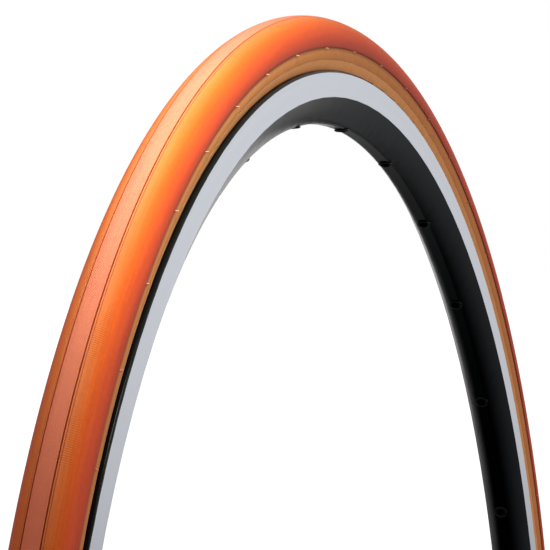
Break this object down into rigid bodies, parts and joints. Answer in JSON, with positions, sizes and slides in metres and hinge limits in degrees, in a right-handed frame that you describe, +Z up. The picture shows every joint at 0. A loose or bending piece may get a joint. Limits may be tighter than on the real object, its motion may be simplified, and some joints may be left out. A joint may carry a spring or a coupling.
{
  "type": "bicycle tire",
  "caption": "Road clincher tyre with an orange tread and tan sidewalls, inflated on its black alloy rim with bright brake tracks and a valve.",
  "frame": {"origin": "centre of the wheel, on the axle line and the rim's mid-plane", "axes": "+Y along the axle, +Z up, the valve at the bottom (-Z)"},
  "size_m": [0.6769, 0.021, 0.677],
  "materials": {
    "tread_centre": "fine ribbed orange rubber",
    "tread_shoulder": "matt orange rubber",
    "sidewall": "tan skin over the casing cloth",
    "rim_strip": "light tan rubber",
    "casing_cloth": "rubbered nylon cloth",
    "puncture_belt": "woven belt",
    "bead_wire": "drawn wire",
    "butyl": "matt",
    "rim_tape": "woven tape",
    "rim_alloy": "black anodised, brake tracks machined bright",
    "plain_alloy": "as extruded",
    "eyelet_metal": "black",
    "valve_metal": "nickel plated",
    "cap_plastic": "moulded"
  },
  "bodies": {
    "wheel": {"tread_centre": "tread_centre", "tread_shoulder_left": "tread_shoulder", "tread_shoulder_right": "tread_shoulder", "sidewall_left": "sidewall", "sidewall_right": "sidewall", "rim_strip_left": "rim_strip", "rim_strip_right": "rim_strip", "casing_outer_ply": "casing_cloth", "casing_inner_ply": "casing_cloth", "puncture_belt": "puncture_belt", "bead_core_left": "bead_wire", "bead_core_right": "bead_wire", "inner_tube": "butyl", "valve_patch": "butyl", "rim_tape": "rim_tape", "rim": "rim_alloy", "rim_joint_sleeve": "plain_alloy", "spoke_eyelets": "eyelet_metal", "valve_stem": "valve_metal", "valve_core_body": "valve_metal"},
    "rim_nut": {"valve_rim_nut": "valve_metal"},
    "dust_cap": {"dust_cap": "cap_plastic"},
    "valve_pin": {"valve_pin": "valve_metal", "valve_seal": "butyl"},
    "lock_nut": {"valve_lock_nut": "valve_metal"}
  },
  "joints": [
    {"name": "rim_nut_travel", "type": "slide", "parent": "wheel", "child": "rim_nut", "axis": [0, 0, 1], "range_m": [0, 0.02]},
    {"name": "dust_cap_travel", "type": "slide", "parent": "wheel", "child": "dust_cap", "axis": [0, 0, 1], "range_m": [0, 0.022]},
    {"name": "valve_pin_press", "type": "slide", "parent": "wheel", "child": "valve_pin", "axis": [0, 0, -1], "range_m": [0, 0.0022]},
    {"name": "lock_nut_turn", "type": "hinge", "parent": "valve_pin", "child": "lock_nut", "pos_m": [0, 0, -0.2612], "axis": [0, 0, 1], "range_deg": [-1080, 0]}
  ]
}
